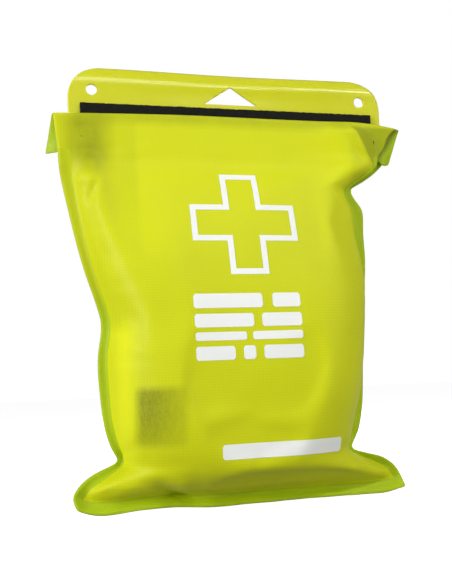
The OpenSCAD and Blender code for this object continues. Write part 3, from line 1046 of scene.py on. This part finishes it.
# The hem's lower corners: x and how far back they stand
HEM_LEFT = (-96.0, 3.0)
HEM_RIGHT = (88.5, -1.0)
HEM_REACH = 18.8
# How much lower the hem hangs where it closes the gap beside the right shoulder
HEM_DROOP = 2.4
HEM_DROOP_X = 88.0
# Where the hem's free ends begin
HEM_FREE = 83.5


def build_hem():
    """The lip's turned-back layer; its ends stand away from the lip as small ears."""
    across_cells, down_cells = 90, 12
    surface = surface_finder([front])
    top_y = -(NECK_DEPTH + WELD_Y)
    points = []
    for j in range(down_cells + 1):
        f = j / down_cells
        turn = 1.0 * math.sin(min(1.0, f * 8) * math.pi / 2)
        places, covers = [], []
        for i in range(across_cells + 1):
            top_x, top_z = curve_at(LIP_TOP, i / across_cells)
            corner_x = HEM_LEFT[0] if top_x < 0 else HEM_RIGHT[0]
            end_x = LIP_TOP[0][0] if top_x < 0 else LIP_TOP[-1][0]
            share = (top_x / end_x) ** 4
            x = top_x + 0.4 * share * math.copysign(1, top_x) + f * share * (corner_x - end_x)
            droop = HEM_DROOP * max(0.0, 1 - abs(top_x - HEM_DROOP_X) / 6)
            z = top_z + 0.1 - (HEM_REACH + droop) * f
            face_y = face_at(surface, x, z)
            places.append((x, z, top_x))
            covers.append(None if face_y is None else min(face_y, -2.0))
        for i, (x, z, top_x) in enumerate(places):
            free = clamp((abs(top_x) - HEM_FREE) / 9) ** 1.5
            corner_y = HEM_LEFT[1] if top_x < 0 else HEM_RIGHT[1]
            near = [c for c in covers[max(0, i - 1):i + 2] if c is not None]
            behind = max(near) if near else top_y
            free_y = top_y + f * (corner_y - top_y)
            y = behind if near and free == 0 else (1 - free) * behind + free * free_y
            y = max(y, behind) if near else y
            points.append((x, y + turn, z))
    obj = mesh_object("lip_hem_fold", points, grid_faces(across_cells + 1, down_cells + 1), HEM_WELD)
    modifier(obj, "SOLIDIFY", thickness=0.4 * MM, offset=0.0)
    modifier(obj, "SUBSURF", levels=1, render_levels=1)
    applied(obj)
    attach(obj, "lip")
    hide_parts("lip_hem")


BRISTLES = 2600


def build_strip(name, cad, body, face, trim=0.0):
    """A pile strip: a slab with an uneven face and edges, covered in short bristles."""
    low, high = (np.array(p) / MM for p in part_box(cad))
    high[2] -= trim
    step = 1.0
    columns = int((high[0] - low[0]) / step) + 1
    rows = int((high[2] - low[2]) / step) + 1
    base_y = high[1] if face < 0 else low[1]
    tip_y = low[1] if face < 0 else high[1]
    points = []
    for layer_y, rough in ((tip_y, 0.22), (base_y, 0.0)):
        for j in range(rows):
            for i in range(columns):
                x = low[0] + (high[0] - low[0]) * i / (columns - 1)
                z = high[2] - (high[2] - low[2]) * j / (rows - 1)
                seed = Vector((x * 1.7, layer_y, z * 1.7))
                edge = 0.25 if j in (0, rows - 1) else 0.0
                points.append((
                    x + 0.1 * noise.noise(seed * 1.3),
                    layer_y - face * 0.35 - face * rough * noise.noise(seed) if rough else layer_y,
                    z + edge * noise.noise(seed * 0.9),
                ))
    size = columns * rows
    faces = grid_faces(columns, rows, flip=face > 0)
    faces += [tuple(k + size for k in f[::-1]) for f in grid_faces(columns, rows, flip=face > 0)]
    rim = grid_rim(columns, rows)
    for a, b in zip(rim, rim[1:] + rim[:1]):
        faces.append((a, a + size, b + size, b) if face > 0 else (b, b + size, a + size, a))
    rng = np.random.default_rng(7)
    for _ in range(BRISTLES):
        x = rng.uniform(low[0] + 0.3, high[0] - 0.3)
        z = rng.uniform(low[2] + 0.2, high[2] + 0.05)
        root = tip_y - face * 0.55
        lean_x, lean_z = rng.normal(0, 0.22), rng.normal(0.05, 0.22)
        k = len(points)
        for turn in (0, 120, 240):
            a = math.radians(turn)
            points.append((x + 0.16 * math.cos(a), root, z + 0.16 * math.sin(a)))
        points.append((x + lean_x, tip_y + face * 0.05, z + lean_z))
        faces += [(k, k + 1, k + 3), (k + 1, k + 2, k + 3), (k + 2, k, k + 3), (k + 2, k + 1, k)]
    obj = mesh_object(name, points, faces, BLACK_PILE, smooth=False)
    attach(obj, body)
    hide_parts(cad)


build_hem()
build_strip("hook_pile_strip", "hook_strip", "pouch", -1)
build_strip("loop_pile_strip", "loop_strip", "lip", 1, trim=2.6)


# ---------------------------------------------------------------- print

FRONT_SURFACE = surface_finder([front])
PRINT_LIFT = 0.1


def on_front(x, z):
    """The point of the front fabric's outer face at x and z, in millimetres, lifted by the ink."""
    return (x, face_at(FRONT_SURFACE, x, z) - PRINT_LIFT, z)


def finish_print(name, points, faces, cad):
    obj = mesh_object(name, points, faces, PRINT)
    modifier(obj, "SOLIDIFY", thickness=0.08 * MM, offset=-1.0)
    applied(obj)
    obj.data.set_sharp_from_angle(angle=math.radians(40))
    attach(obj, "pouch")
    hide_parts(cad)


# Middle of the cross, half its size, half its arm's width and its line's width
CROSS_X, CROSS_Z = -0.7, -72.0
CROSS_HALF, CROSS_ARM, CROSS_LINE = 27.0, 9.7, 2.9


def build_cross():
    """A ring of faces between the cross's outline and a smaller one, laid on the front."""
    quarter = [(CROSS_ARM, CROSS_HALF), (CROSS_ARM, CROSS_ARM), (CROSS_HALF, CROSS_ARM)]
    corners = []
    for _ in range(4):
        corners += quarter
        quarter = [(z, -x) for x, z in quarter]
    along, through = 10, 3
    points, faces = [], []
    n = len(corners)
    for k in range(n):
        (ax, az), (bx, bz) = corners[k], corners[(k + 1) % n]
        for step in range(along):
            f = step / along
            x, z = ax + (bx - ax) * f, az + (bz - az) * f
            inner = [
                (c[0] - math.copysign(CROSS_LINE, c[0]), c[1] - math.copysign(CROSS_LINE, c[1]))
                for c in ((ax, az), (bx, bz))
            ]
            ix = inner[0][0] + (inner[1][0] - inner[0][0]) * f
            iz = inner[0][1] + (inner[1][1] - inner[0][1]) * f
            for q in range(through + 1):
                g = q / through
                points.append(on_front(CROSS_X + x + (ix - x) * g, CROSS_Z + z + (iz - z) * g))
    rows = len(points) // (through + 1)
    for r in range(rows):
        for q in range(through):
            a = r * (through + 1) + q
            b = (r + 1) % rows * (through + 1) + q
            faces.append((a, b, b + 1, a + 1))
    finish_print("cross_outline", points, faces, "cross_print")


# Plain bars in place of lettering: each row's middle height, bar height and bar ends
BAR_ROWS = [
    (-112, 7, [(-30, 4), (9, 23)]),
    (-121.5, 6.5, [(-30, -1), (3, 23)]),
    (-129, 4, [(-30, -5), (-2, 23)]),
    (-137, 6.5, [(-30, -11), (-7, -1), (3, 23)]),
    (-183, 7, [(-19, 43)]),
]


def build_bars():
    """Bars with rounded corners, laid on the front."""
    rows, round_r = 6, 0.9
    points, faces = [], []
    for z, height, bars in BAR_ROWS:
        for x0, x1 in bars:
            columns = max(4, int((x1 - x0) / 1.2))
            first = len(points)
            for j in range(rows + 1):
                g = j / rows
                rise = height * (0.5 - g)
                inset = max(0.0, abs(rise) - (height / 2 - round_r))
                pull = round_r - math.sqrt(max(0.0, round_r**2 - inset**2))
                for i in range(columns + 1):
                    x = x0 + pull + (x1 - x0 - 2 * pull) * i / columns
                    points.append(on_front(x, z + rise))
            for face in grid_faces(columns + 1, rows + 1):
                faces.append(tuple(k + first for k in face))
    finish_print("print_rows", points, faces, "print_bars")


build_cross()
build_bars()


# ---------------------------------------------------------------- camera, floor and light

CAMERA_TURN = math.radians(14.2)
CAMERA_RISE = math.radians(-6.8)
CAMERA_ROLL = math.radians(-2.5)
CAMERA_FAR = 0.400
CAMERA_TARGET = Vector((-0.007, 0.0, -0.1045))
CAMERA_LENS = 48.0


def add_camera():
    away = Vector((
        -math.sin(CAMERA_TURN) * math.cos(CAMERA_RISE),
        -math.cos(CAMERA_TURN) * math.cos(CAMERA_RISE),
        math.sin(CAMERA_RISE),
    ))
    data = bpy.data.cameras.new("camera")
    data.lens = CAMERA_LENS
    data.clip_start = 0.01
    data.clip_end = 20
    cam = bpy.data.objects.new("camera", data)
    scene.collection.objects.link(cam)
    look = (-away).to_track_quat("-Z", "Y").to_matrix().to_4x4()
    place = Matrix.Translation(CAMERA_TARGET + CAMERA_FAR * away)
    cam.matrix_world = place @ look @ Matrix.Rotation(CAMERA_ROLL, 4, "Z")
    scene.camera = cam


def area_light(name, place, aim, size, power):
    data = bpy.data.lights.new(name, "AREA")
    data.shape = "DISK"
    data.size = size
    data.energy = power
    lamp = bpy.data.objects.new(name, data)
    scene.collection.objects.link(lamp)
    place, aim = Vector(place), Vector(aim)
    turn = (place - aim).to_track_quat("Z", "Y").to_matrix().to_4x4()
    lamp.matrix_world = Matrix.Translation(place) @ turn


def strip_light(name, place, aim, width, height, power):
    """A long thin lamp, level along X, for the sheen along the header."""
    area_light(name, place, aim, width, power)
    data = bpy.data.lights[name]
    data.shape = "RECTANGLE"
    data.size_y = height


FLOOR_Z = -0.2125
FLOOR_HALF = 6.0
# How strongly the sky lights the object, and how bright the camera sees it
SKY_LIGHT = 0.26
SKY_SEEN = 1.0
# The floor's own glow, so that it stays as pale as the background behind it
FLOOR_GLOW = 0.86


def add_stage():
    mesh = bpy.data.meshes.new("floor")
    turns = ((-1, -1), (1, -1), (1, 1), (-1, 1))
    corners = [(x * FLOOR_HALF, y * FLOOR_HALF, FLOOR_Z) for x, y in turns]
    mesh.from_pydata(corners, [], [(0, 1, 2, 3)])
    floor = bpy.data.objects.new("floor", mesh)
    scene.collection.objects.link(floor)
    m, tree, shader = new_material("pale_floor")
    set_inputs(shader, {
        "Base Color": (0.45, 0.45, 0.45, 1),
        "Roughness": 0.95,
        "Specular IOR Level": 0.0,
        "Emission Color": (1, 1, 1, 1),
    })
    seen = node(tree, "LightPath").outputs["Is Camera Ray"]
    tree.links.new(maths(tree, "MULTIPLY", seen, FLOOR_GLOW), shader.inputs["Emission Strength"])
    mesh.materials.append(m)
    world = bpy.data.worlds.new("studio")
    world.use_nodes = True
    tree = world.node_tree
    tree.nodes["Background"].inputs[0].default_value = (1, 1, 1, 1)
    seen = node(tree, "LightPath").outputs["Is Camera Ray"]
    strength = maths(tree, "MULTIPLY_ADD", seen, SKY_SEEN - SKY_LIGHT, SKY_LIGHT)
    tree.links.new(strength, tree.nodes["Background"].inputs[1])
    scene.world = world
    scene.view_settings.view_transform = "Standard"


add_camera()
add_stage()
KIT_MIDDLE = (0, 0, -0.1)
area_light("key", (-1.05, -0.5, 0.12), KIT_MIDDLE, 0.4, 9.2)
area_light("fill", (1.0, -0.85, 0.2), KIT_MIDDLE, 0.6, 2.6)
area_light("low_front", (-0.2, -1.2, -0.16), KIT_MIDDLE, 0.5, 1.6)
area_light("back", (0.4, 1.2, 0.5), KIT_MIDDLE, 0.8, 11)
strip_light("header_strip", (0.30, -0.75, 0.62), (0, 0, 0), 1.1, 0.10, 4.5)
